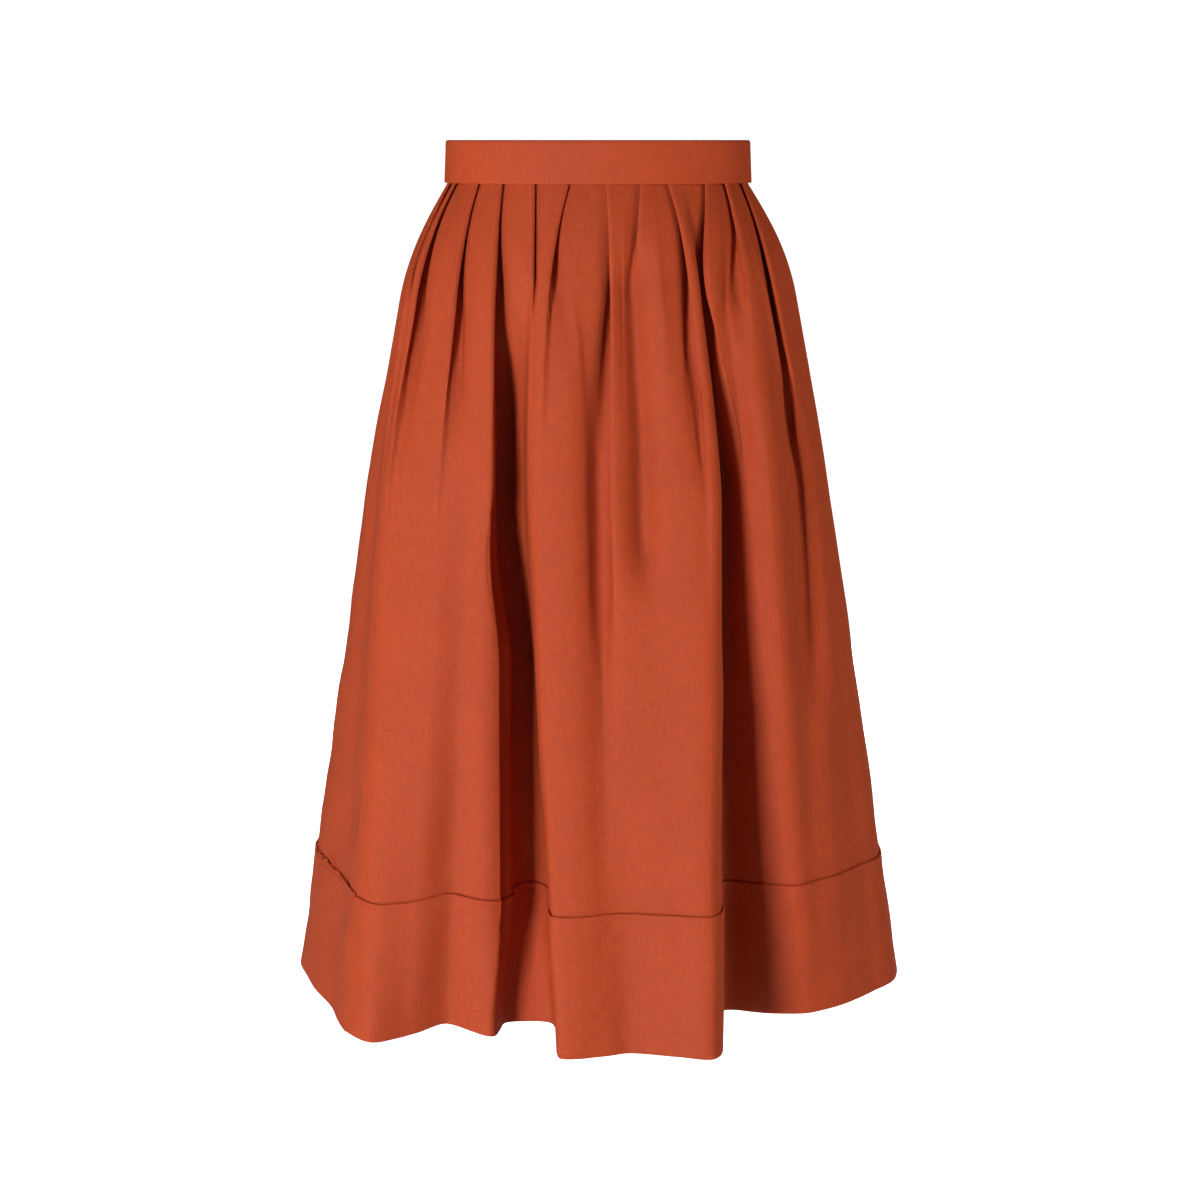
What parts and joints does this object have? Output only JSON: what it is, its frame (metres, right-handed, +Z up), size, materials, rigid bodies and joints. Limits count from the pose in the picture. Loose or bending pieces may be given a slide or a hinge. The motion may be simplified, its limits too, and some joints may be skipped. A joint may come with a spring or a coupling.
{
  "type": "midi skirt",
  "caption": "Pleated midi skirt in plain cloth with a flat waistband, deep folds, a sewn-on hem band and a zip at the centre back.",
  "frame": {"origin": "centre of the waist, halfway up the waistband", "axes": "+Z up, the front of the skirt faces -Y, +X to the right in the front view"},
  "size_m": [0.5698, 0.4821, 0.7763],
  "materials": {
    "cloth": "plain weave in rust orange, matt with a faint sheen",
    "zip_coil": "dyed polyester coil",
    "zip_metal": "enamelled in the cloth's colour",
    "thread": "sewing thread in the cloth's colour"
  },
  "bodies": {
    "skirt": {"waistband": "cloth", "skirt_front": "cloth", "skirt_back_right": "cloth", "skirt_back_left": "cloth", "hem_band_front": "cloth", "hem_band_back": "cloth", "zip_coil": "zip_coil", "zip_slider": "zip_metal"},
    "pull_tab": {"zip_pull": "zip_metal"}
  },
  "joints": [
    {"name": "pull_tab_swing", "type": "hinge", "parent": "skirt", "child": "pull_tab", "pos_m": [0, 0.09922, 0.0115], "axis": [1, 0, 0], "range_deg": [0, 150]}
  ]
}
